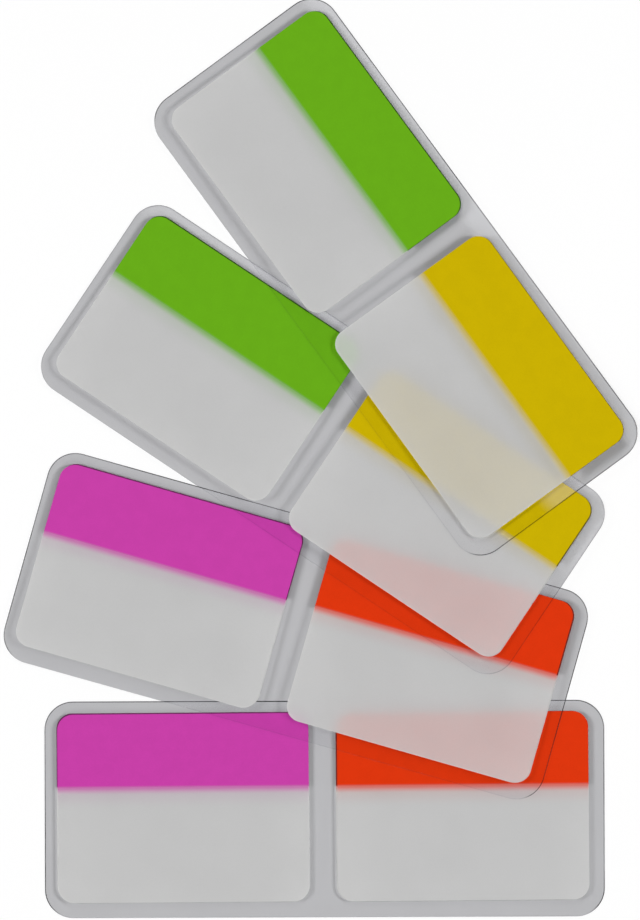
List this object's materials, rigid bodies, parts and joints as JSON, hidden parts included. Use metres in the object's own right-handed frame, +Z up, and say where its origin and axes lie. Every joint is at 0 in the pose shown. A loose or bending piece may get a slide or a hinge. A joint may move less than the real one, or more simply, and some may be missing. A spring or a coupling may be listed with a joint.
{
  "type": "sticky index tabs",
  "caption": "Frosted film index tabs with a coloured writing end, stuck in small pads two to a clear rounded carrier card, the cards fanned out flat on a table.",
  "frame": {"origin": "middle of the underside of the bottom carrier card, on the table", "axes": "+X along the bottom card, +Y across it towards its coloured ends and the rest of the fan, +Z up from the table"},
  "size_m": [0.1283, 0.1857, 0.0025],
  "materials": {
    "clear_film": "clear, faintly grey plastic film, smooth and slightly glossy",
    "frosted_film": "frosted translucent film with a satin face that takes a pen",
    "violet_print": "opaque pinkish violet ink, satin",
    "orange_print": "opaque orange-red ink, satin",
    "green_print": "opaque yellowish green ink, satin",
    "yellow_print": "opaque deep yellow ink, satin"
  },
  "bodies": {
    "root": {"carrier_card_1": "clear_film", "card_1_left_tab_1": "frosted_film", "card_1_left_tab_1_print": "violet_print", "card_1_left_tab_2": "frosted_film", "card_1_left_tab_2_print": "violet_print", "card_1_left_tab_3": "frosted_film", "card_1_left_tab_3_print": "violet_print", "card_1_right_tab_1": "frosted_film", "card_1_right_tab_1_print": "orange_print", "card_1_right_tab_2": "frosted_film", "card_1_right_tab_2_print": "orange_print", "card_1_right_tab_3": "frosted_film", "card_1_right_tab_3_print": "orange_print", "carrier_card_2": "clear_film", "card_2_left_tab_1": "frosted_film", "card_2_left_tab_1_print": "violet_print", "card_2_left_tab_2": "frosted_film", "card_2_left_tab_2_print": "violet_print", "card_2_left_tab_3": "frosted_film", "card_2_left_tab_3_print": "violet_print", "card_2_right_tab_1": "frosted_film", "card_2_right_tab_1_print": "orange_print", "card_2_right_tab_2": "frosted_film", "card_2_right_tab_2_print": "orange_print", "card_2_right_tab_3": "frosted_film", "card_2_right_tab_3_print": "orange_print", "carrier_card_3": "clear_film", "card_3_left_tab_1": "frosted_film", "card_3_left_tab_1_print": "green_print", "card_3_left_tab_2": "frosted_film", "card_3_left_tab_2_print": "green_print", "card_3_left_tab_3": "frosted_film", "card_3_left_tab_3_print": "green_print", "card_3_right_tab_1": "frosted_film", "card_3_right_tab_1_print": "yellow_print", "card_3_right_tab_2": "frosted_film", "card_3_right_tab_2_print": "yellow_print", "card_3_right_tab_3": "frosted_film", "card_3_right_tab_3_print": "yellow_print", "carrier_card_4": "clear_film", "card_4_left_tab_1": "frosted_film", "card_4_left_tab_1_print": "green_print", "card_4_left_tab_2": "frosted_film", "card_4_left_tab_2_print": "green_print", "card_4_left_tab_3": "frosted_film", "card_4_left_tab_3_print": "green_print", "card_4_right_tab_1": "frosted_film", "card_4_right_tab_1_print": "yellow_print", "card_4_right_tab_2": "frosted_film", "card_4_right_tab_2_print": "yellow_print", "card_4_right_tab_3": "frosted_film", "card_4_right_tab_3_print": "yellow_print"}
  },
  "joints": []
}
